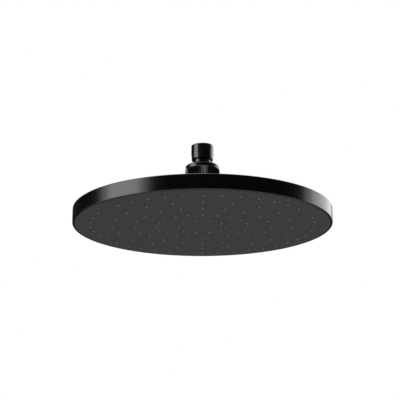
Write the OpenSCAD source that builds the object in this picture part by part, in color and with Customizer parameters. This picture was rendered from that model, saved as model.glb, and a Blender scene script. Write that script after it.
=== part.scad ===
// Round overhead shower head with a ball joint and a female half inch inlet.
// Millimetres, +Z up along the inlet. The origin is the centre of the inlet's mouth, and the
// spray face looks down. Nozzle rings are counted from -Y, the side that faces the bather.

/* [Spray disc] */
// Overall diameter of the disc
head_d = 300; // [240:1:360]
// Height of the straight rim
rim_h = 17; // [16:0.5:24]
// Wall of the back shell
shell_wall = 2.5; // [2:0.1:3.2]
// Rounding of the rim's lower edge
rim_foot_r = 0.8; // [0.3:0.1:1.2]
// Rounding between the rim and the back
rim_top_r = 1; // [0.3:0.1:2]
// Rise of the back, from the rim's top to the axis
back_rise = 17; // [12:1:22]
// Room inside the hub, round the boss's flange
hub_room = 1; // [0.5:0.1:2]
// Fillet between the back and the hub
hub_fillet_r = 16; // [4:1:17]
// Rounding of the hub's upper edge
hub_edge_r = 1.5; // [0.5:0.1:1.8]
// Roof of the hub, clamped between the boss and the lock ring
hub_roof_t = 3; // [2:0.5:4]

/* [Nozzles] */
// Nozzles in each ring, from the centre outwards
ring_counts = [10, 20, 20, 20, 40]; // [4:1:48]
// Start of each ring, as a share of its own spacing
ring_shifts = [0.5, 0, 0, 0, 0]; // [0:0.1:1]
// Radius of the innermost ring
first_ring_r = 27; // [22:0.5:34]
// Distance from the disc's edge to the outermost ring
edge_to_last_ring = 20.5; // [20:0.5:26]
// Hole in the face plate
nozzle_hole_d = 5.4; // [5:0.1:6.4]
// Rubber nub, outside
nub_d = 4; // [3:0.1:4.4]
// Taper of the nub's diameter down to its tip
nub_taper = 0.5; // [0:0.1:1]
// Jet bore in the nub
jet_d = 1.1; // [0.8:0.1:1.6]
// Reach of the nubs below the spray face
nub_reach = 1; // [0.4:0.1:2]
// Depth of the ring-shaped recess round each nub
recess_depth = 1.3; // [0.6:0.1:1.8]

/* [Face and water chamber] */
// Thickness of the face plate
face_t = 2.4; // [2:0.1:3]
// Gap between the face plate and the rim
face_gap = 0.15; // [0.05:0.05:0.3]
// Thickness of the rubber mat
mat_t = 1.6; // [1:0.1:2.2]
// Clear height for the water above the mat
chamber_h = 4.4; // [3:0.1:5]
// Thickness of the chamber's roof
roof_t = 2.4; // [2:0.1:2.8]
// Width of the chamber's sealing wall
skirt_w = 5.4; // [5:0.1:5.8]
// From the outermost nozzles to the outside of the sealing wall
skirt_reach = 9.8; // [9:0.1:10]
// Cord diameter of the chamber seal
chamber_seal_d = 2.4; // [2:0.1:2.6]
// Screws round the rim
rim_screws = 16; // [8:2:24]
// Screws between the second and the third ring
inner_screws = 10; // [5:5:10]
// Thread diameter of the screws
screw_d = 3; // [2.5:0.1:3.2]
// Head diameter of the screws
screw_head_d = 5.4; // [5:0.1:6]
// Head height of the screws
screw_head_h = 1.8; // [1.4:0.1:2.2]
// Length of the screws under the head
screw_l = 8; // [6:0.5:8.5]
// Screw posts on the face plate
post_d = 6.4; // [6:0.1:6.6]
// Outside of the small seals on top of the inner posts
post_seal_d = 5.6; // [5:0.1:5.8]
// Thickness of the small post seals
post_seal_t = 0.8; // [0.5:0.1:1]
// Water duct from the ball joint to the chamber
duct_d = 18; // [14:0.5:20]
// Wall of the water duct
duct_wall = 3.2; // [2.5:0.1:4]
// Foot of the duct on the chamber's roof
duct_foot = 3; // [1:0.5:5]
// Ledge in the duct's mouth, under the boss
spigot_ledge = 5; // [4:0.5:6]
// Length of the boss's spigot in the duct
spigot_l = 6; // [5.5:0.5:8]
// Gussets round the duct
gussets = 10; // [5:1:12]
// Thickness of the gussets and ribs
rib_t = 2; // [1.5:0.1:3]
// Height of the ribs on the chamber's roof
rib_h = 3.2; // [1:0.1:3.4]

/* [Ball joint] */
// Ball diameter
ball_d = 28; // [27:0.1:28.6]
// Height of the ball's centre above the spray face
ball_h = 67; // [66:0.5:76]
// Largest tilt of the head, each way
max_tilt = 15; // [5:1:15]
// Running clearance round the ball
ball_gap = 0.1; // [0.05:0.01:0.15]
// Water bore through the ball
ball_bore_d = 10; // [6:0.5:10]
// Wall of the lower seat beside the ball
seat_wall = 1.5; // [1.2:0.1:2.4]
// Wall of the boss round the lower seat
boss_wall = 2.3; // [2:0.1:2.6]
// Wall of the collar over its thread
collar_wall = 1.5; // [1.3:0.1:2.2]
// Rise of the knurl over the collar's plain part
knurl_rise = 0.8; // [0.6:0.1:1.4]
// Ridges of the knurl
knurl_count = 72; // [36:1:90]
// Depth of the knurl
knurl_depth = 0.7; // [0.3:0.1:0.8]
// Radius of the collar's domed shoulder
shoulder_r = 12; // [11:0.5:14]
// Width of the collar's domed shoulder
shoulder_w = 8.1; // [7:0.1:9]
// Highest point of the collar above the ball's centre
collar_top = 8.2; // [7.6:0.1:8.6]
// Lower edge of the collar below the ball's centre
collar_drop = 12.6; // [12:0.1:14]
// Top of the knurl above the ball's centre
knurl_top = 1.6; // [0:0.1:2.4]
// Radial clearance of the mating threads
thread_gap = 0.05; // [0.02:0.01:0.1]
// Lip of the boss's flange, past its thread
flange_lip = 3; // [2:0.5:4]
// Flange of the boss, thickness
flange_t = 3; // [2:0.5:4]
// Lip of the lock ring, past the boss's thread
lock_ring_lip = 3.5; // [3:0.5:5]
// Lock ring, thickness
lock_ring_t = 3; // [2:0.5:4]
// Spanner notches in the lock ring
lock_notches = 4; // [2:1:6]
// Wall of the upper seat beside the ball
upper_seat_wall = 2.4; // [2:0.1:2.6]
// Height of the upper seat
upper_seat_h = 4.8; // [4:0.1:4.9]
// Floor of the lower seat, under the ball
seat_floor_t = 2.4; // [2:0.1:3]
// Room round the ball's bore in the lower seat
seat_bore_room = 1.5; // [1:0.1:2]
// Lip of the lower seat, inside the ball seal
seat_lip_w = 1.7; // [1.4:0.1:2]
// Width of the ball seal
ball_seal_w = 3.6; // [3:0.1:3.8]
// Cord diameter of the boss seal
boss_seal_d = 2.4; // [2:0.1:2.6]

/* [Inlet socket] */
// Bore at the thread's major diameter
thread_d = 21; // [20.8:0.1:21.2]
// Wall of the socket
socket_wall = 2.5; // [2.3:0.1:3.5]
// Height of the socket
socket_h = 18.5; // [17.5:0.1:20]
// Depth of the two spanner flats
flat_depth = 0.5; // [0.4:0.1:0.9]
// Height of the spanner flats, from the socket's lower edge
flats_h = 6; // [5:0.5:8]
// Rounding of the socket's upper edge
socket_edge_r = 1.3; // [0.5:0.1:1.6]
// Chamfer of the socket's lower edge
socket_foot = 0.9; // [0.4:0.1:1.2]
// Length of the thread
thread_l = 12; // [10:0.5:12.5]
// Lead-in at the thread's mouth
mouth_chamfer = 0.4; // [0.2:0.1:0.4]
// Depth of the relief under the thread
relief_depth = 0.5; // [0.3:0.1:0.7]
// Depth of the ball's centre below the socket
neck_l = 13; // [12.6:0.1:15]
// Washer, thickness
washer_t = 2; // [1.5:0.1:2.4]
// Washer, hole
washer_id = 14; // [12:0.5:15]
// Rim of the filter screen, thickness
screen_t = 0.6; // [0.4:0.1:0.8]
// Depth of the dished filter screen
screen_dish = 1.4; // [0.8:0.1:1.8]
// Holes of the filter screen
screen_hole_d = 0.9; // [0.6:0.1:1]
// Regulator cartridge, diameter
regulator_d = 15.6; // [15:0.1:16]
// Wall of the neck round the regulator cartridge
neck_wall = 2.4; // [1.6:0.1:2.5]
// Regulator cartridge, height
regulator_h = 6; // [5.4:0.1:6.4]
// Water slots of the regulator
regulator_holes = 8; // [6:1:10]
// Cord diameter of the regulator's seal
regulator_seal_d = 1.8; // [1.5:0.1:2]

/* [Hidden] */
$fn = 96;

// Cuts run this far past the surface that they open
over = 1;
// Face to face pieces that carry no load stand this far apart
rest_gap = 0.05;
// Room round a piece that only has to drop in
drop_gap = 0.2;
// Room round the seat rings
seat_slip = 0.1;
// Share of a seal's cord that its groove leaves room for
squeezed = 0.8;
// Half width of a seal's groove, as a share of its cord
groove_half = 0.6;
// Heights of the upper seat, the boss's top and the lower seat's top, from the ball's centre
upper_seat_lift = 0.4;
boss_top_drop = 1.4;
lower_seat_drop = 2.6;
// Depth of the ball seal's bed under the ball
seal_bed = 0.4;
// Widening of the water's way from the lower seat to the boss
water_step = 0.5;
// Gap between the collar and the lock ring
collar_foot_gap = 0.4;
// Room under the filter screen's rim and over the regulator
screen_bed = 0.6;
regulator_drop = 0.8;

coated = [0.27, 0.27, 0.28];
face_grey = [0.24, 0.24, 0.25];
rubber_grey = [0.42, 0.42, 0.43];
brass_yellow = [0.78, 0.62, 0.32];
moulded_white = [0.82, 0.82, 0.80];
moulded_black = [0.16, 0.16, 0.17];
seal_black = [0.09, 0.09, 0.09];
steel_grey = [0.62, 0.63, 0.65];

// Levels from the inlet's mouth down to the spray face
ball_z = -socket_h - neck_l;
face_z = ball_z - ball_h;

// Spray disc, levels counted from the spray face
head_r = head_d / 2;
face_r = head_r - shell_wall - face_gap;
mat_z = face_t;
water_z = mat_z + mat_t;
chamber_roof_z = water_z + chamber_h;
chamber_top_z = chamber_roof_z + roof_t;
back_tilt = atan(back_rise / head_r);
function back_z(r) = rim_h + (head_r - r) * back_rise / head_r;

// Nozzles
rings = len(ring_counts);
ring_pitch = (head_r - edge_to_last_ring - first_ring_r) / (rings - 1);
nozzle_points = [for (i = [0:rings - 1]) for (k = [0:ring_counts[i] - 1])
                 let (a = -90 + (k + ring_shifts[i]) * 360 / ring_counts[i],
                      r = first_ring_r + i * ring_pitch)
                 [r * cos(a), r * sin(a)]];

// Screws stand outside the sealing wall and midway between the second and the third ring
skirt_out_r = head_r - edge_to_last_ring + skirt_reach;
skirt_in_r = skirt_out_r - skirt_w;
rim_screw_r = (skirt_out_r + face_r) / 2 - 0.4;
inner_screw_r = first_ring_r + 1.5 * ring_pitch;
rim_screw_points = [for (k = [0:rim_screws - 1]) let (a = (k + 0.5) * 360 / rim_screws)
                    rim_screw_r * [cos(a), sin(a)]];
inner_screw_points = [for (k = [0:inner_screws - 1]) let (a = k * 360 / inner_screws + 9)
                      inner_screw_r * [cos(a), sin(a)]];
screw_points = concat(rim_screw_points, inner_screw_points);
screw_hole_d = screw_d + 0.4;
seal_groove_w = chamber_seal_d + 0.4;
seal_r = (skirt_out_r + skirt_in_r) / 2;

// Ball joint from the ball outwards
neck_r = regulator_d / 2 + seat_slip + neck_wall;
ball_r = ball_d / 2;
seat_r = ball_r + ball_gap;
upper_seat_r = seat_r + upper_seat_wall;
boss_bore_r = seat_r + seat_wall + seat_slip;
boss_r = boss_bore_r + boss_wall;
collar_r = boss_r + collar_wall;
flange_r = boss_r + flange_lip;
lock_ring_r = boss_r + lock_ring_lip;
hub_r = flange_r + hub_room + shell_wall;
spigot_r = duct_d / 2 + spigot_ledge;
seat_bore_r = ball_bore_d / 2 + seat_bore_room;
boss_water_r = seat_bore_r + water_step;
ball_seal_in_r = seat_bore_r + seat_lip_w;
ball_seal_out_r = ball_seal_in_r + ball_seal_w;

// Ball joint, levels counted from the spray face
lip_gap = 0.3;
tilt_mouth_low_r = (neck_r + lip_gap) / cos(max_tilt);
tilt_mouth_top_r = tilt_mouth_low_r + (collar_top + over) * tan(max_tilt);
collar_low_z = ball_h - collar_drop;
lock_ring_z = collar_low_z - collar_foot_gap - lock_ring_t;
flange_top_z = lock_ring_z - hub_roof_t;
duct_top_z = flange_top_z - flange_t;
duct_pocket_z = duct_top_z - spigot_l;
duct_out_r = duct_d / 2 + duct_wall;
pocket_out_r = spigot_r + thread_gap + duct_wall;
upper_seat_z = ball_h + upper_seat_lift;
upper_seat_top_z = upper_seat_z + upper_seat_h;
boss_top_z = ball_h - boss_top_drop;
seat_floor_z = ball_h - ball_r - seat_floor_t;
ball_seal_z = ball_h - ball_r - seal_bed;
lower_seat_top_z = ball_h - lower_seat_drop;
boss_groove_z = duct_pocket_z + spigot_l / 2;

// Inlet socket, levels counted from the inlet's mouth
socket_floor_z = -thread_l - washer_t - screen_t - screen_bed;
neck_z = -socket_h;
socket_r = thread_d / 2 + socket_wall;
relief_r = thread_d / 2 + relief_depth;
regulator_pocket_r = regulator_d / 2 + seat_slip;
regulator_z = socket_floor_z - screen_dish - screen_t - regulator_drop;
regulator_floor_z = regulator_z - regulator_h - rest_gap;
regulator_groove_z = regulator_z - regulator_h * 0.62;

// Moves a piece of the spray disc down to its place under the inlet
module at_face() {
    translate([0, 0, face_z]) children();
}

// Part of a corner that lies outside an arc of radius r round the given centre, between two angles
module corner_off(centre, r, from, to) {
    reach = 2 * r / cos((to - from) / 2);
    translate(centre) difference() {
        polygon([[0, 0], reach * [cos(from), sin(from)],
                 reach * [cos((from + to) / 2), sin((from + to) / 2)], reach * [cos(to), sin(to)]]);
        circle(r);
    }
}

// Round cord of a seal
module cord_ring(ring_r, cord_d, z) {
    rotate_extrude() translate([ring_r, z]) circle(d = cord_d, $fn = 48);
}

// Upright cylinders at a list of points, between two levels
module posts(points, low, high, d) {
    for (p = points) translate([p.x, p.y, low]) cylinder(h = high - low, d = d);
}

// Flat ring between two radii
module flat_ring(in_r, out_r, low, high) {
    rotate_extrude() translate([in_r, low]) square([out_r - in_r, high - low]);
}

// Half section of the back, with its walls moved in by the given distance
module back_outline(inset, floor_z, roof_z) {
    drop = inset / cos(back_tilt);
    wall_r = head_r - inset;
    hub_wall_r = hub_r - inset;
    fillet_r = hub_fillet_r + inset;
    fillet_x = hub_wall_r + fillet_r;
    fillet_z = back_z(fillet_x) - drop + fillet_r / cos(back_tilt);
    difference() {
        polygon([[0, floor_z], [wall_r, floor_z], [wall_r, back_z(wall_r) - drop],
                 [fillet_x - fillet_r * sin(back_tilt), fillet_z - fillet_r * cos(back_tilt)],
                 [hub_wall_r, fillet_z], [hub_wall_r, roof_z], [0, roof_z]]);
        translate([fillet_x, fillet_z]) circle(fillet_r, $fn = 144);
    }
}

module back_shell() {
    rim_arc_x = head_r - rim_top_r;
    color(coated) at_face() rotate_extrude() difference() {
        back_outline(0, 0, lock_ring_z);
        back_outline(shell_wall, -over, flange_top_z);
        translate([0, -over]) square([boss_r + drop_gap, lock_ring_z + 2 * over]);
        corner_off([head_r - rim_foot_r, rim_foot_r], rim_foot_r, -90, 0);
        corner_off([rim_arc_x, back_z(rim_arc_x) - rim_top_r], rim_top_r, 0, 90 - back_tilt);
        corner_off([hub_r - hub_edge_r, lock_ring_z - hub_edge_r], hub_edge_r, 0, 90);
    }
}

module face_plate() {
    lip_w = 1.6;
    pilot_z = chamber_top_z - screw_l - 0.6;
    color(face_grey) at_face() difference() {
        union() {
            cylinder(h = face_t, r = face_r);
            flat_ring(face_r - lip_w, face_r, face_t - over, chamber_roof_z);
            posts(screw_points, face_t / 2, chamber_roof_z, post_d);
        }
        posts(nozzle_points, -over, face_t + over, nozzle_hole_d);
        posts(screw_points, pilot_z, chamber_roof_z + over, screw_d + 2 * rest_gap);
        posts(inner_screw_points, chamber_roof_z - post_seal_t, chamber_roof_z + over,
              post_seal_d + 2 * rest_gap);
    }
}

module nozzle_mat() {
    root_d = nozzle_hole_d - 2 * rest_gap;
    nub_h = nub_reach + recess_depth + mat_t / 4;
    color(rubber_grey) at_face() difference() {
        union() {
            translate([0, 0, mat_z]) cylinder(h = mat_t, r = skirt_in_r - drop_gap);
            posts(nozzle_points, recess_depth, mat_z + mat_t / 2, root_d);
            for (p = nozzle_points) translate([p.x, p.y, -nub_reach])
                cylinder(h = nub_h, d1 = nub_d - nub_taper, d2 = nub_d);
        }
        posts(nozzle_points, -nub_reach - over, water_z + over, jet_d);
        posts(inner_screw_points, mat_z - over, water_z + over, post_d + 2 * drop_gap);
    }
}

module chamber_seal() {
    color(seal_black) at_face() cord_ring(seal_r, chamber_seal_d - rest_gap, face_t + chamber_seal_d / 2);
}

module post_seals() {
    color(seal_black) at_face() difference() {
        posts(inner_screw_points, chamber_roof_z - post_seal_t, chamber_roof_z, post_seal_d);
        posts(inner_screw_points, chamber_roof_z - post_seal_t - over, chamber_roof_z + over, screw_hole_d);
    }
}

// Half section of the chamber's roof, its sealing wall and the duct that rises from it
module chamber_section() {
    roof_r = head_r - shell_wall - 1;
    cone_h = pocket_out_r - duct_out_r;
    translate([0, chamber_roof_z]) square([roof_r, roof_t]);
    translate([skirt_in_r, face_t]) square([skirt_w, chamber_roof_z - face_t + over]);
    polygon([[0, chamber_roof_z], [duct_out_r + duct_foot, chamber_roof_z],
             [duct_out_r + duct_foot, chamber_top_z], [duct_out_r, chamber_top_z + duct_foot],
             [duct_out_r, duct_pocket_z - cone_h], [pocket_out_r, duct_pocket_z],
             [pocket_out_r, duct_top_z], [0, duct_top_z]]);
}

// Gusset between the duct and the roof, and the rib that runs on from it to the sealing wall
module gusset() {
    foot_r = inner_screw_r - post_d;
    top_z = duct_pocket_z - (pocket_out_r - duct_out_r) - duct_wall;
    inner = duct_d / 2 + duct_wall / 2;
    rotate([90, 0, 0]) translate([0, 0, -rib_t / 2]) linear_extrude(rib_t)
        polygon([[inner, chamber_top_z - over], [foot_r, chamber_top_z - over],
                 [foot_r, chamber_top_z + rib_h], [duct_out_r + duct_foot, top_z], [inner, top_z]]);
    translate([foot_r - over, -rib_t / 2, chamber_top_z - over])
        cube([skirt_in_r - foot_r, rib_t, rib_h + over]);
}

module chamber_plate() {
    color(moulded_black) at_face() difference() {
        union() {
            rotate_extrude() chamber_section();
            for (k = [0:gussets - 1]) rotate([0, 0, (k + 0.5) * 360 / gussets + 9]) gusset();
        }
        translate([0, 0, chamber_roof_z - over]) cylinder(h = duct_top_z, d = duct_d);
        translate([0, 0, duct_pocket_z]) cylinder(h = spigot_l + over, r = spigot_r + thread_gap);
        flat_ring(seal_r - seal_groove_w / 2, seal_r + seal_groove_w / 2,
                  face_t - over, face_t + chamber_seal_d);
        posts(screw_points, chamber_roof_z - over, chamber_top_z + over, screw_hole_d);
    }
}

// Pan head screw with a cross recess, its head's underside at zero
module screw() {
    slot_w = 0.7;
    slot_l = screw_head_d * 0.55;
    difference() {
        union() {
            cylinder(h = screw_head_h, d1 = screw_head_d, d2 = screw_head_d * 0.8);
            translate([0, 0, 1 - screw_l]) cylinder(h = screw_l, d = screw_d);
            translate([0, 0, -screw_l]) cylinder(h = 1.1, d1 = screw_d * 0.5, d2 = screw_d);
        }
        for (a = [0, 90]) rotate([0, 0, a]) translate([-slot_l / 2, -slot_w / 2, screw_head_h * 0.45])
            cube([slot_l, slot_w, screw_head_h]);
    }
}

module chamber_screws() {
    color(steel_grey) at_face() for (p = screw_points) translate([p.x, p.y, chamber_top_z]) screw();
}

// Turned outside of the boss: spigot, flange and thread
module threaded_boss() {
    lead_in = 0.6;
    spigot_z = duct_pocket_z + rest_gap;
    color(brass_yellow) at_face() difference() {
        rotate_extrude() polygon([[0, spigot_z], [spigot_r, spigot_z], [spigot_r, duct_top_z],
                                  [flange_r, duct_top_z], [flange_r, flange_top_z],
                                  [boss_r, flange_top_z], [boss_r, boss_top_z - lead_in],
                                  [boss_r - lead_in, boss_top_z], [0, boss_top_z]]);
        translate([0, 0, duct_pocket_z - over]) cylinder(h = boss_top_z, r = boss_water_r);
        translate([0, 0, seat_floor_z]) cylinder(h = boss_top_z, r = boss_bore_r);
        flat_ring(spigot_r - boss_seal_d * squeezed, spigot_r + over,
                  boss_groove_z - boss_seal_d * groove_half, boss_groove_z + boss_seal_d * groove_half);
    }
}

module boss_o_ring() {
    cord_d = boss_seal_d * squeezed - rest_gap;
    color(seal_black) at_face() cord_ring(spigot_r - cord_d / 2, cord_d, boss_groove_z);
}

module shell_lock_ring() {
    notch_w = 4;
    notch_depth = 1.6;
    color(coated) at_face() translate([0, 0, lock_ring_z]) difference() {
        cylinder(h = lock_ring_t, r = lock_ring_r);
        translate([0, 0, -over]) cylinder(h = lock_ring_t + 2 * over, r = boss_r + thread_gap);
        for (k = [0:lock_notches - 1]) rotate([0, 0, (k + 0.5) * 360 / lock_notches])
            translate([lock_ring_r - notch_depth, -notch_w / 2, -over])
            cube([notch_depth + over, notch_w, lock_ring_t + 2 * over]);
    }
}

// Half section of the collar's outside, from its lower edge to the top of its dome
module collar_outline() {
    dome_x = collar_r - shoulder_w;
    intersection() {
        translate([0, collar_low_z]) square([collar_r, collar_top + collar_drop]);
        union() {
            translate([dome_x, ball_h + collar_top - shoulder_r]) circle(shoulder_r, $fn = 144);
            translate([0, collar_low_z]) square([dome_x, collar_top + collar_drop]);
            translate([0, collar_low_z]) square([collar_r, collar_drop]);
        }
    }
}

// Straight ridges round the collar, with a chamfer at both ends
module knurl_band() {
    band_h = collar_drop + knurl_top;
    crest_r = collar_r + knurl_rise;
    root_r = crest_r - knurl_depth;
    step = 360 / knurl_count;
    past = 0.1;
    end_x = root_r - 0.4;
    end_h = knurl_depth + 0.5;
    intersection() {
        translate([0, 0, collar_low_z]) linear_extrude(band_h)
            polygon([for (k = [0:knurl_count - 1]) for (s = [[0, root_r], [0.5, crest_r]])
                     s[1] * [cos((k + s[0]) * step), sin((k + s[0]) * step)]]);
        rotate_extrude() polygon([[0, collar_low_z], [end_x, collar_low_z],
                                  [crest_r + past, collar_low_z + end_h],
                                  [crest_r + past, collar_low_z + band_h - end_h],
                                  [end_x, collar_low_z + band_h], [0, collar_low_z + band_h]]);
    }
}

// Room above the ball for the neck at its largest tilt
module tilt_mouth() {
    translate([0, 0, ball_h])
        cylinder(h = collar_top + over, r1 = tilt_mouth_low_r, r2 = tilt_mouth_top_r);
}

module collar_nut() {
    color(coated) at_face() difference() {
        union() {
            rotate_extrude() collar_outline();
            knurl_band();
        }
        translate([0, 0, collar_low_z - over])
            cylinder(h = ball_h - collar_low_z + over, r = boss_r + thread_gap);
        translate([0, 0, collar_low_z])
            cylinder(h = upper_seat_top_z + rest_gap - collar_low_z, r = upper_seat_r + seat_slip);
        translate([0, 0, ball_h]) sphere(ball_r + lip_gap);
        tilt_mouth();
    }
}

module upper_seat() {
    color(moulded_white) at_face() difference() {
        translate([0, 0, upper_seat_z]) cylinder(h = upper_seat_h, r = upper_seat_r);
        translate([0, 0, ball_h]) sphere(seat_r);
        tilt_mouth();
    }
}

module lower_seat() {
    color(moulded_white) at_face() difference() {
        translate([0, 0, seat_floor_z + rest_gap])
            cylinder(h = lower_seat_top_z - seat_floor_z, r = boss_bore_r - seat_slip);
        translate([0, 0, ball_h]) sphere(seat_r);
        translate([0, 0, seat_floor_z - over]) cylinder(h = ball_r, r = seat_bore_r);
        flat_ring(ball_seal_in_r - rest_gap, ball_seal_out_r + rest_gap, ball_seal_z, ball_h);
    }
}

module ball_seal() {
    color(seal_black) at_face() difference() {
        flat_ring(ball_seal_in_r, ball_seal_out_r, ball_seal_z, ball_h - ball_r / 2);
        translate([0, 0, ball_h]) sphere(seat_r);
    }
}

// Half section of the socket's outside: rounded above, chamfered below
module socket_outline() {
    difference() {
        polygon([[0, 0], [socket_r, 0], [socket_r, neck_z + socket_foot],
                 [socket_r - socket_foot, neck_z], [0, neck_z]]);
        corner_off([socket_r - socket_edge_r, -socket_edge_r], socket_edge_r, 0, 90);
    }
}

module ball_stem() {
    flat_cut = socket_r;
    bore_edge = 0.2;
    ball_cut_z = ball_z - sqrt(ball_r * ball_r - pow(ball_bore_d / 2 + bore_edge, 2));
    color(coated) difference() {
        union() {
            rotate_extrude() socket_outline();
            translate([0, 0, ball_z]) cylinder(h = neck_l + over, r = neck_r);
            translate([0, 0, ball_z]) sphere(ball_r);
        }
        for (s = [-1, 1])
            translate([s * (socket_r - flat_depth + flat_cut / 2), 0, neck_z + flats_h / 2 - over / 2])
            cube([flat_cut, 2 * socket_r, flats_h + over], center = true);
        translate([0, 0, -thread_l]) cylinder(h = thread_l + over, d = thread_d);
        translate([0, 0, -mouth_chamfer])
            cylinder(h = mouth_chamfer, d1 = thread_d, d2 = thread_d + 2 * mouth_chamfer);
        translate([0, 0, socket_floor_z]) cylinder(h = -thread_l - socket_floor_z, r = relief_r);
        translate([0, 0, regulator_floor_z])
            cylinder(h = socket_floor_z + over - regulator_floor_z, r = regulator_pocket_r);
        translate([0, 0, ball_z - ball_r - over]) cylinder(h = neck_l + ball_r, d = ball_bore_d);
        translate([0, 0, ball_cut_z - ball_r]) cube([ball_d, ball_d, 2 * ball_r], center = true);
    }
}

module inlet_washer() {
    color(seal_black) flat_ring(washer_id / 2, relief_r - drop_gap,
                                socket_floor_z + screen_t, socket_floor_z + screen_t + washer_t);
}

// Dished sieve whose rim lies under the washer
module filter_screen() {
    dish_r = regulator_pocket_r - 0.6;
    sieve_r = dish_r - 1.6;
    rows = floor(sieve_r / (screen_hole_d * 1.7));
    low = socket_floor_z - screen_dish;
    color(steel_grey) difference() {
        rotate_extrude() polygon([[0, low], [sieve_r, low], [dish_r, socket_floor_z],
                                  [relief_r - drop_gap, socket_floor_z],
                                  [relief_r - drop_gap, socket_floor_z + screen_t],
                                  [dish_r - 0.4, socket_floor_z + screen_t],
                                  [sieve_r - 0.4, low + screen_t], [0, low + screen_t]]);
        translate([0, 0, low - over]) cylinder(h = screen_t + 2 * over, d = screen_hole_d);
        for (i = [1:rows]) for (k = [0:6 * i - 1]) rotate([0, 0, k * 60 / i])
            translate([i * (sieve_r - screen_hole_d / 2 - 0.2) / rows, 0, low - over])
            cylinder(h = screen_t + 2 * over, d = screen_hole_d, $fn = 24);
    }
}

module flow_regulator() {
    core_r = regulator_d / 2;
    slot_r = core_r * 0.52;
    slot_d = core_r * 0.28;
    groove_h = regulator_seal_d * groove_half;
    color(moulded_white) translate([0, 0, regulator_z - regulator_h]) difference() {
        cylinder(h = regulator_h, r = core_r);
        translate([0, 0, regulator_h - 1.6]) flat_ring(slot_r - slot_d, slot_r + slot_d, 0, 1.6 + over);
        for (k = [0:regulator_holes - 1]) rotate([0, 0, k * 360 / regulator_holes])
            translate([slot_r, 0, -over]) cylinder(h = regulator_h + 2 * over, d = slot_d, $fn = 32);
        flat_ring(core_r - regulator_seal_d * squeezed, core_r + over,
                  regulator_groove_z - regulator_z + regulator_h - groove_h,
                  regulator_groove_z - regulator_z + regulator_h + groove_h);
    }
}

// Rubber ring that the water presses into the regulator's holes
module flow_ring() {
    core_r = regulator_d / 2;
    cord_d = 1.5;
    color(seal_black) cord_ring(core_r * 0.52, cord_d, regulator_z - 1.6 + cord_d / 2 + rest_gap);
}

module regulator_o_ring() {
    cord_d = regulator_seal_d * squeezed - rest_gap;
    color(seal_black) cord_ring(regulator_d / 2 - cord_d / 2, cord_d, regulator_groove_z);
}

ball_stem();
inlet_washer();
filter_screen();
flow_regulator();
flow_ring();
regulator_o_ring();
upper_seat();
lower_seat();
ball_seal();
collar_nut();
shell_lock_ring();
threaded_boss();
boss_o_ring();
back_shell();
chamber_plate();
chamber_seal();
post_seals();
chamber_screws();
nozzle_mat();
face_plate();
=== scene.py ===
"""Overhead shower head: finishes, fine detail, studio and camera round the CAD frame.

Everything is in metres, in the CAD's frame: +Z up along the inlet, the origin in its mouth.
"""

from __future__ import annotations

import logging
import math
from collections.abc import Callable, Mapping, Sequence
from dataclasses import dataclass, field
from enum import Enum

import bmesh
import bpy
from mathutils import Matrix, Vector


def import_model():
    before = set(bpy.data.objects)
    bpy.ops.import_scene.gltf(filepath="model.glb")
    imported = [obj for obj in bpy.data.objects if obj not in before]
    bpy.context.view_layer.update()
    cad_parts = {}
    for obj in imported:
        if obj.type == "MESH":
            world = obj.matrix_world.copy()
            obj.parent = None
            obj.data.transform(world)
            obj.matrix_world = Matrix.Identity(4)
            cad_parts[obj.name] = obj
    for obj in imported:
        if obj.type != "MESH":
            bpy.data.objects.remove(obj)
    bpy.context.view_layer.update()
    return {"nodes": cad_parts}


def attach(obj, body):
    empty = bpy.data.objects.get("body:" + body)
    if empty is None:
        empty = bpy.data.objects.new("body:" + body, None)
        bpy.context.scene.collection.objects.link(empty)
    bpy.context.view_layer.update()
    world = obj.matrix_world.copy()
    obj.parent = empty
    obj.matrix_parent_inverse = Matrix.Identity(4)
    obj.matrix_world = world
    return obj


LOG = logging.getLogger("shower_head")
MM = 0.001

NodeTable = Mapping[str, bpy.types.Object]
FinishTable = Mapping["Slot", bpy.types.Material]

# Socket numbers of the Mix node when it mixes colours
MIX_A, MIX_B, MIX_COLOUR = 6, 7, 2


class Slot(Enum):
    """The record's material slots."""

    COATED_METAL = "coated_metal"
    COATED_SHELL = "coated_shell"
    FACE = "face"
    NOZZLE_RUBBER = "nozzle_rubber"
    SEAL_RUBBER = "seal_rubber"
    RAW_BRASS = "raw_brass"
    SEAT_PLASTIC = "seat_plastic"
    INNER_PLASTIC = "inner_plastic"
    STEEL = "steel"


class Lay(Enum):
    """How the marks of the making run over a surface."""

    TURNED = "rings about the inlet's axis"
    MOULDED = "even in every direction"


def linear(colour: str) -> tuple[float, float, float, float]:
    """Turns an sRGB hex colour into the linear colour that a shader takes.

    Args:
        colour: The colour as "#RRGGBB".

    Returns:
        Linear red, green and blue, and an alpha of one.
    """
    parts = [int(colour[i : i + 2], 16) / 255 for i in (1, 3, 5)]
    red, green, blue = (c / 12.92 if c <= 0.04045 else ((c + 0.055) / 1.055) ** 2.4 for c in parts)
    return (red, green, blue, 1.0)


def per_mm(size: float) -> float:
    """Turns the size of one mark in millimetres into a texture's scale per metre."""
    return 1 / (size * MM)


def add_node(
    tree: bpy.types.NodeTree,
    kind: str,
    inputs: Mapping[str | int, object] | None = None,
    **settings: object,
) -> bpy.types.Node:
    """Adds one node with its settings, its values and its links.

    Args:
        tree: The node tree that takes the node.
        kind: Blender's name for the node's type.
        inputs: For each input socket, by name or number, a value or the output socket to link.
        **settings: Properties of the node itself.

    Returns:
        The new node.
    """
    node = tree.nodes.new(kind)
    for name, value in settings.items():
        setattr(node, name, value)
    for name, value in (inputs or {}).items():
        if isinstance(value, bpy.types.NodeSocket):
            tree.links.new(value, node.inputs[name])
        else:
            node.inputs[name].default_value = value
    return node


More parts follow.
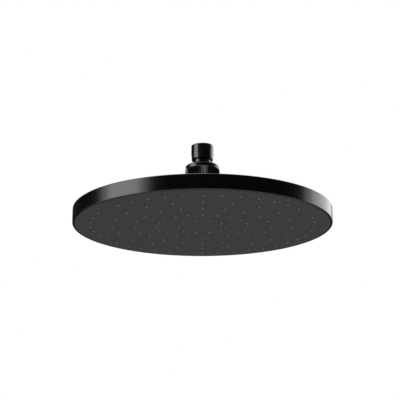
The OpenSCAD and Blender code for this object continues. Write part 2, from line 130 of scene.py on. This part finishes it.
@dataclass(frozen=True)
class Finish:
    """A real material and how its surface was made.

    Attributes:
        name: The material's common name and making.
        colour: Its colour as sRGB hex.
        colour_low: The colour in the dips of its slow variation, as sRGB hex.
        roughness: Mean roughness.
        roughness_swing: How far the roughness drifts either way.
        drift_mm: Size of the slow variation of colour and roughness.
        mark_mm: Size of the fine marks of the making.
        mark_depth_mm: Height of those marks.
        lay: How the marks run.
        metallic: One for a bare or coated metal, else zero.
        specular: Specular level of a plastic or rubber.
    """

    name: str
    colour: str
    colour_low: str
    roughness: float
    roughness_swing: float
    drift_mm: float
    mark_mm: float
    mark_depth_mm: float
    lay: Lay = Lay.MOULDED
    metallic: float = 0.0
    specular: float = 0.5

    def build(self) -> bpy.types.Material:
        """Makes the material's node tree.

        Returns:
            The finished material.
        """
        material = bpy.data.materials.new(self.name)
        material.use_nodes = True
        tree = material.node_tree
        tree.nodes.clear()
        place = add_node(tree, "ShaderNodeTexCoord").outputs["Object"]
        drift = add_node(
            tree,
            "ShaderNodeTexNoise",
            {"Vector": place, "Scale": per_mm(self.drift_mm), "Detail": 3.0, "Roughness": 0.5},
        ).outputs["Fac"]
        tint = add_node(
            tree,
            "ShaderNodeMix",
            {0: drift, MIX_A: linear(self.colour_low), MIX_B: linear(self.colour)},
            data_type="RGBA",
        )
        gloss = add_node(
            tree,
            "ShaderNodeMapRange",
            {
                "Value": drift,
                "From Min": 0.3,
                "From Max": 0.7,
                "To Min": self.roughness - self.roughness_swing,
                "To Max": self.roughness + self.roughness_swing,
            },
        )
        marks = add_node(
            tree,
            "ShaderNodeTexNoise",
            {
                "Vector": self._mark_place(tree, place),
                "Scale": per_mm(self.mark_mm),
                "Detail": 2.0,
                "Roughness": 0.55,
            },
        )
        bump = add_node(
            tree,
            "ShaderNodeBump",
            {"Height": marks.outputs["Fac"], "Strength": 1.0, "Distance": self.mark_depth_mm * MM},
        )
        shader = add_node(
            tree,
            "ShaderNodeBsdfPrincipled",
            {
                "Base Color": tint.outputs[MIX_COLOUR],
                "Roughness": gloss.outputs["Result"],
                "Normal": bump.outputs["Normal"],
                "Metallic": self.metallic,
                "Specular IOR Level": self.specular,
            },
        )
        add_node(tree, "ShaderNodeOutputMaterial", {"Surface": shader.outputs["BSDF"]})
        return material

    def _mark_place(self, tree: bpy.types.NodeTree, place: bpy.types.NodeSocket) -> bpy.types.NodeSocket:
        """Gives the coordinates that the fine marks are drawn in.

        Args:
            tree: The material's node tree.
            place: The object coordinates.

        Returns:
            The same coordinates for a moulded surface. For a turned one the distance from the axis
            and the height alone, so that the marks close into rings.
        """
        if self.lay is Lay.MOULDED:
            return place
        parts = add_node(tree, "ShaderNodeSeparateXYZ", {"Vector": place})
        flat = add_node(tree, "ShaderNodeCombineXYZ", {"X": parts.outputs["X"], "Y": parts.outputs["Y"]})
        radius = add_node(
            tree, "ShaderNodeVectorMath", {0: flat.outputs["Vector"]}, operation="LENGTH"
        ).outputs["Value"]
        return add_node(
            tree, "ShaderNodeCombineXYZ", {"X": radius, "Z": parts.outputs["Z"]}
        ).outputs["Vector"]


FINISHES: Mapping[Slot, Finish] = {
    # Turned brass under a thin vapour-deposited coat: dark mirror with the faint rings of the lathe
    Slot.COATED_METAL: Finish(
        "brass_turned_vapour_coated", "#585859", "#505052", 0.24, 0.03, 9.0, 0.4, 0.002,
        lay=Lay.TURNED, metallic=1.0,
    ),
    # Moulded ABS, plated and coated like the brass: a mirror with a slow waviness of the moulding
    Slot.COATED_SHELL: Finish(
        "abs_moulded_plated", "#505051", "#4A4A4C", 0.20, 0.02, 22.0, 5.0, 0.004, metallic=1.0,
    ),
    # ABS from a spark-eroded mould: an even satin without any sharp reflection. The real grain of
    # 0.2 mm is drawn at 0.8 mm, so that it shows
    Slot.FACE: Finish(
        "abs_moulded_satin", "#3C3C3D", "#39393A", 0.58, 0.04, 30.0, 0.8, 0.012, specular=0.2,
    ),
    # Silicone straight from a fine mould: soft sheen, a little paler than the face
    Slot.NOZZLE_RUBBER: Finish(
        "silicone_moulded", "#6A6A6B", "#626263", 0.46, 0.05, 3.0, 0.5, 0.006, specular=0.4,
    ),
    # EPDM seals with the dull skin of compression moulding
    Slot.SEAL_RUBBER: Finish(
        "epdm_moulded", "#1C1C1C", "#161616", 0.55, 0.06, 4.0, 0.3, 0.008, specular=0.4,
    ),
    # Bare brass off the lathe: warm, with clear tool rings
    Slot.RAW_BRASS: Finish(
        "brass_turned_bare", "#D9B36A", "#C79F55", 0.28, 0.05, 6.0, 0.4, 0.004,
        lay=Lay.TURNED, metallic=1.0,
    ),
    # Acetal seats: milky white and waxy
    Slot.SEAT_PLASTIC: Finish(
        "acetal_moulded", "#DCDCD6", "#D2D2CC", 0.34, 0.04, 5.0, 0.6, 0.004,
    ),
    # Inner ABS, coloured through and left as it comes from a plain mould
    Slot.INNER_PLASTIC: Finish(
        "abs_moulded_black", "#1E1E20", "#18181A", 0.42, 0.06, 12.0, 0.7, 0.008,
    ),
    # Stainless steel of the screws and the sieve, tumbled after stamping
    Slot.STEEL: Finish(
        "stainless_steel_tumbled", "#B9BABC", "#A7A8AA", 0.30, 0.06, 2.0, 0.25, 0.003, metallic=1.0,
    ),
}


def dress(node: bpy.types.Object, finish: bpy.types.Material) -> None:
    """Puts a finish on every material slot of a CAD node."""
    for slot in node.material_slots:
        slot.material = finish


def mesh_object(name: str, mesh: bmesh.types.BMesh, finish: bpy.types.Material) -> bpy.types.Object:
    """Turns a built mesh into an object of the scene.

    Args:
        name: The piece's name.
        mesh: The mesh, which is freed.
        finish: Its material.

    Returns:
        The new object, shaded smooth.
    """
    bmesh.ops.recalc_face_normals(mesh, faces=mesh.faces)
    data = bpy.data.meshes.new(name)
    mesh.to_mesh(data)
    mesh.free()
    for polygon in data.polygons:
        polygon.use_smooth = True
    data.materials.append(finish)
    piece = bpy.data.objects.new(name, data)
    bpy.context.scene.collection.objects.link(piece)
    return piece


def bridge_rings(mesh: bmesh.types.BMesh, rings: Sequence[Sequence[bmesh.types.BMVert]]) -> None:
    """Joins a row of vertex rings into one closed skin with capped ends."""
    for one, two in zip(rings, rings[1:]):
        for i in range(len(one)):
            j = (i + 1) % len(one)
            mesh.faces.new((one[i], one[j], two[j], two[i]))
    mesh.faces.new(rings[0])
    mesh.faces.new(tuple(reversed(rings[-1])))


@dataclass
class InletFitting:
    """Ball stem with its thread, washer and sieve. Sizes are of a half inch parallel pipe thread."""

    nodes: NodeTable
    finishes: FinishTable
    pitch: float = 1.814 * MM
    wall_r: float = 10.5 * MM
    crest_r: float = 9.35 * MM
    embed: float = 0.06 * MM
    top_z: float = -0.75 * MM
    bottom_z: float = -11.4 * MM
    steps_per_turn: int = 72
    run_out_turns: float = 0.35

    def build(self) -> bpy.types.Object:
        """Cuts the inlet's thread as one helical ridge.

        Returns:
            The ridge.
        """
        # Half widths of the ridge at its root and its crest, rounded between them
        root, crest = 0.46 * self.pitch, 0.10 * self.pitch
        depth = self.wall_r - self.crest_r
        profile = [
            (self.embed, -root), (0.0, -root), (-0.70 * depth, -0.24 * self.pitch), (-0.93 * depth, -0.16 * self.pitch),
            (-depth, -crest), (-depth, crest), (-0.93 * depth, 0.16 * self.pitch), (-0.70 * depth, 0.24 * self.pitch),
            (0.0, root), (self.embed, root),
        ]
        turns = (self.top_z - self.bottom_z) / self.pitch
        steps = round(turns * self.steps_per_turn)
        mesh = bmesh.new()
        rings = []
        for k in range(steps + 1):
            done = k / self.steps_per_turn
            share = max(0.02, min(1.0, done / self.run_out_turns, (steps / self.steps_per_turn - done) / self.run_out_turns))
            angle = math.tau * done
            height = self.top_z - done * self.pitch
            rings.append([
                mesh.verts.new((
                    (self.wall_r + (x if x > 0 else x * share)) * math.cos(angle),
                    (self.wall_r + (x if x > 0 else x * share)) * math.sin(angle),
                    height + z * share,
                ))
                for x, z in profile
            ])
        bridge_rings(mesh, rings)
        ridge = mesh_object("inlet_thread_ridge", mesh, self.finishes[Slot.COATED_METAL])
        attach(ridge, "inlet")
        return ridge

    def dress(self) -> None:
        """Puts the finishes on the stem, the washer and the sieve."""
        dress(self.nodes["ball_stem"], self.finishes[Slot.COATED_METAL])
        dress(self.nodes["inlet_washer"], self.finishes[Slot.SEAL_RUBBER])
        dress(self.nodes["filter_screen"], self.finishes[Slot.STEEL])


@dataclass
class FlowCartridge:
    """Flow regulator with its two rubber rings."""

    nodes: NodeTable
    finishes: FinishTable

    def dress(self) -> None:
        """Puts the finishes on the cartridge and its rings."""
        dress(self.nodes["flow_regulator"], self.finishes[Slot.SEAT_PLASTIC])
        for name in ("flow_ring", "regulator_o_ring"):
            dress(self.nodes[name], self.finishes[Slot.SEAL_RUBBER])


@dataclass
class BallSeat:
    """The two seat rings and the seal that hug the ball."""

    nodes: NodeTable
    finishes: FinishTable

    def dress(self) -> None:
        """Puts the finishes on the rings and the seal."""
        for name in ("upper_seat", "lower_seat"):
            dress(self.nodes[name], self.finishes[Slot.SEAT_PLASTIC])
        dress(self.nodes["ball_seal"], self.finishes[Slot.SEAL_RUBBER])


@dataclass
class JointCollar:
    """Knurled collar, lock ring and threaded boss."""

    nodes: NodeTable
    finishes: FinishTable

    def dress(self) -> None:
        """Puts the finishes on the collar, the lock ring, the boss and its seal."""
        for name in ("collar_nut", "shell_lock_ring"):
            dress(self.nodes[name], self.finishes[Slot.COATED_METAL])
        dress(self.nodes["threaded_boss"], self.finishes[Slot.RAW_BRASS])
        dress(self.nodes["boss_o_ring"], self.finishes[Slot.SEAL_RUBBER])


@dataclass
class SprayDisc:
    """Back shell, face plate and the rubber mat with its nozzles."""

    nodes: NodeTable
    finishes: FinishTable

    def dress(self) -> None:
        """Puts the finishes on the shell, the face and the mat."""
        dress(self.nodes["back_shell"], self.finishes[Slot.COATED_SHELL])
        dress(self.nodes["face_plate"], self.finishes[Slot.FACE])
        dress(self.nodes["nozzle_mat"], self.finishes[Slot.NOZZLE_RUBBER])


@dataclass
class WaterChamber:
    """Chamber roof with its seals and screws."""

    nodes: NodeTable
    finishes: FinishTable

    def dress(self) -> None:
        """Puts the finishes on the roof, the seals and the screws."""
        dress(self.nodes["chamber_plate"], self.finishes[Slot.INNER_PLASTIC])
        for name in ("chamber_seal", "post_seals"):
            dress(self.nodes[name], self.finishes[Slot.SEAL_RUBBER])
        dress(self.nodes["chamber_screws"], self.finishes[Slot.STEEL])


@dataclass
class PhotoCamera:
    """The photograph's camera, as fitted to the nozzle rings and the disc's outline."""

    position: Vector = field(default_factory=lambda: Vector((-7.0, -1233.0, -425.6)) * MM)
    yaw: float = math.radians(0.194)
    pitch: float = math.radians(16.23)
    roll: float = math.radians(-0.107)
    focal_px: float = 1101.5
    frame_px: float = 400.0
    sensor_mm: float = 36.0

    def build(self) -> bpy.types.Object:
        """Places the camera and makes it the scene's own.

        Returns:
            The camera.
        """
        ahead = Vector((
            math.sin(self.yaw) * math.cos(self.pitch),
            math.cos(self.yaw) * math.cos(self.pitch),
            math.sin(self.pitch),
        ))
        level = Vector((math.cos(self.yaw), -math.sin(self.yaw), 0.0))
        above = level.cross(ahead)
        right = math.cos(self.roll) * level + math.sin(self.roll) * above
        up = math.cos(self.roll) * above - math.sin(self.roll) * level
        data = bpy.data.cameras.new("photo_camera")
        data.sensor_width = self.sensor_mm
        data.lens = self.focal_px / self.frame_px * self.sensor_mm
        data.clip_start, data.clip_end = 0.01, 100.0
        camera = bpy.data.objects.new("photo_camera", data)
        turn = Matrix((right, up, -ahead)).transposed()
        camera.matrix_world = Matrix.Translation(self.position) @ turn.to_4x4()
        bpy.context.scene.collection.objects.link(camera)
        bpy.context.scene.camera = camera
        return camera


def compass(azimuth_deg: float, elevation_deg: float) -> Vector:
    """Gives the direction at an azimuth from -Y towards +X and at an elevation."""
    azimuth, elevation = math.radians(azimuth_deg), math.radians(elevation_deg)
    return Vector((
        math.sin(azimuth) * math.cos(elevation),
        -math.cos(azimuth) * math.cos(elevation),
        math.sin(elevation),
    ))


@dataclass(frozen=True)
class SoftBox:
    """One soft box of the studio.

    Attributes:
        name: Its name.
        azimuth_deg: Where it stands round the object, from -Y towards +X.
        elevation_deg: How high it stands.
        distance: From the object's middle, in metres.
        width: Its width in metres.
        height: Its height in metres.
        radiance: Its brightness, where one is white.
    """

    name: str
    azimuth_deg: float
    elevation_deg: float
    distance: float
    width: float
    height: float
    radiance: float

    def build(self, middle: Vector) -> bpy.types.Object:
        """Hangs the soft box and turns it to the object.

        Args:
            middle: The point that it faces.

        Returns:
            The lamp.
        """
        lamp = bpy.data.lights.new(self.name, "AREA")
        lamp.shape = "RECTANGLE"
        lamp.size, lamp.size_y = self.width, self.height
        lamp.energy = self.radiance * math.pi * self.width * self.height
        box = bpy.data.objects.new(self.name, lamp)
        away = compass(self.azimuth_deg, self.elevation_deg)
        box.location = middle + away * self.distance
        box.rotation_euler = away.to_track_quat("Z", "Y").to_euler()
        box.visible_camera = False
        bpy.context.scene.collection.objects.link(box)
        return box


@dataclass(frozen=True)
class Flag:
    """A curved dark card that keeps the white background out of the gloss.

    Attributes:
        name: Its name.
        start_deg: Azimuth of its first edge, from -Y towards +X.
        end_deg: Azimuth of its last edge.
        low: Height of its lower edge, in metres.
        high: Height of its upper edge, in metres.
        distance: From the inlet's axis, in metres.
    """

    name: str
    start_deg: float
    end_deg: float
    low: float
    high: float
    distance: float = 2.6

    def build(self, cloth: bpy.types.Material) -> bpy.types.Object:
        """Stands the card up, seen only by glossy rays.

        Args:
            cloth: Its material.

        Returns:
            The card.
        """
        step = 5.0
        parts = max(1, round((self.end_deg - self.start_deg) / step))
        mesh = bmesh.new()
        rows = []
        for k in range(parts + 1):
            foot = compass(self.start_deg + (self.end_deg - self.start_deg) * k / parts, 0.0) * self.distance
            rows.append([mesh.verts.new((foot.x, foot.y, z)) for z in (self.low, self.high)])
        for one, two in zip(rows, rows[1:]):
            mesh.faces.new((one[0], two[0], two[1], one[1]))
        card = mesh_object(self.name, mesh, cloth)
        card.visible_camera = card.visible_diffuse = card.visible_transmission = False
        card.visible_volume_scatter = card.visible_shadow = False
        return card


@dataclass
class Studio:
    """Pale floor, white background, soft boxes and flags."""

    middle: Vector = field(default_factory=lambda: Vector((0.0, 0.0, -60.0)) * MM)
    floor_z: float = -1.6
    floor_r: float = 9.0
    floor_colour: str = "#E9E9E7"
    ambient: float = 0.75
    boxes: tuple[SoftBox, ...] = (
        SoftBox("box_left", -70.0, 17.0, 1.9, 1.1, 1.1, 1.5),
        SoftBox("box_right", 128.0, 17.0, 1.9, 1.5, 1.1, 1.2),
        SoftBox("box_top", -60.0, 70.0, 1.8, 1.2, 1.2, 3.0),
    )
    flags: tuple[Flag, ...] = (
        Flag("flag_front", -46.0, 96.0, -1.5, 3.0),
        Flag("flag_back", 156.0, 264.0, -1.5, 3.0),
    )

    def build(self) -> None:
        """Makes the floor, the background, the lamps and the flags."""
        self._floor()
        self._background()
        for box in self.boxes:
            box.build(self.middle)
        cloth = self._plain("studio_black_cloth", "#383838", 0.9)
        for flag in self.flags:
            flag.build(cloth)

    def _plain(self, name: str, colour: str, roughness: float) -> bpy.types.Material:
        """Makes a plain matt material for the studio itself.

        Args:
            name: The material's name.
            colour: Its colour as sRGB hex.
            roughness: Its roughness.

        Returns:
            The material.
        """
        material = bpy.data.materials.new(name)
        material.use_nodes = True
        tree = material.node_tree
        tree.nodes.clear()
        shader = add_node(tree, "ShaderNodeBsdfDiffuse", {"Color": linear(colour), "Roughness": roughness})
        add_node(tree, "ShaderNodeOutputMaterial", {"Surface": shader.outputs["BSDF"]})
        return material

    def _floor(self) -> bpy.types.Object:
        """Lays the pale floor.

        Returns:
            The floor.
        """
        mesh = bmesh.new()
        bmesh.ops.create_circle(mesh, cap_ends=True, radius=self.floor_r, segments=96)
        floor = mesh_object("studio_floor", mesh, self._plain("studio_paper", self.floor_colour, 0.5))
        floor.location.z = self.floor_z
        return floor

    def _background(self) -> None:
        """Fills the world: white to the eye and in the gloss, a soft even light on the object."""
        world = bpy.data.worlds.new("studio_world")
        world.use_nodes = True
        bpy.context.scene.world = world
        tree = world.node_tree
        tree.nodes.clear()
        rays = add_node(tree, "ShaderNodeLightPath")
        seen: Callable[..., bpy.types.Node] = add_node
        gloss = seen(
            tree,
            "ShaderNodeMath",
            {0: rays.outputs["Is Glossy Ray"], 1: rays.outputs["Is Transmission Ray"]},
            operation="MAXIMUM",
        )
        shown = add_node(
            tree, "ShaderNodeMath", {0: rays.outputs["Is Camera Ray"], 1: gloss.outputs["Value"]}, operation="MAXIMUM"
        )
        light = add_node(tree, "ShaderNodeBackground", {"Color": (1.0, 1.0, 1.0, 1.0), "Strength": self.ambient})
        white = add_node(tree, "ShaderNodeBackground", {"Color": (1.0, 1.0, 1.0, 1.0), "Strength": 1.0})
        mixed = add_node(
            tree,
            "ShaderNodeMixShader",
            {0: shown.outputs["Value"], 1: light.outputs["Background"], 2: white.outputs["Background"]},
        )
        add_node(tree, "ShaderNodeOutputWorld", {"Surface": mixed.outputs["Shader"]})


def main() -> None:
    """Builds the scene round the CAD frame, sub-assembly by sub-assembly."""
    logging.basicConfig(level=logging.INFO, format="%(name)s: %(message)s")
    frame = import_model()
    nodes: NodeTable = frame["nodes"]
    bpy.context.scene.view_settings.view_transform = "Standard"

    PhotoCamera().build()
    finishes = {slot: finish.build() for slot, finish in FINISHES.items()}
    LOG.info("finishes: %s", ", ".join(finish.name for finish in FINISHES.values()))

    inlet = InletFitting(nodes, finishes)
    ridge = inlet.build()
    LOG.info("%s: %d faces", ridge.name, len(ridge.data.polygons))
    for part in (
        inlet,
        FlowCartridge(nodes, finishes),
        BallSeat(nodes, finishes),
        JointCollar(nodes, finishes),
        SprayDisc(nodes, finishes),
        WaterChamber(nodes, finishes),
    ):
        part.dress()
        LOG.info("dressed %s", type(part).__name__)
    Studio().build()


if __name__ == "__main__":
    main()
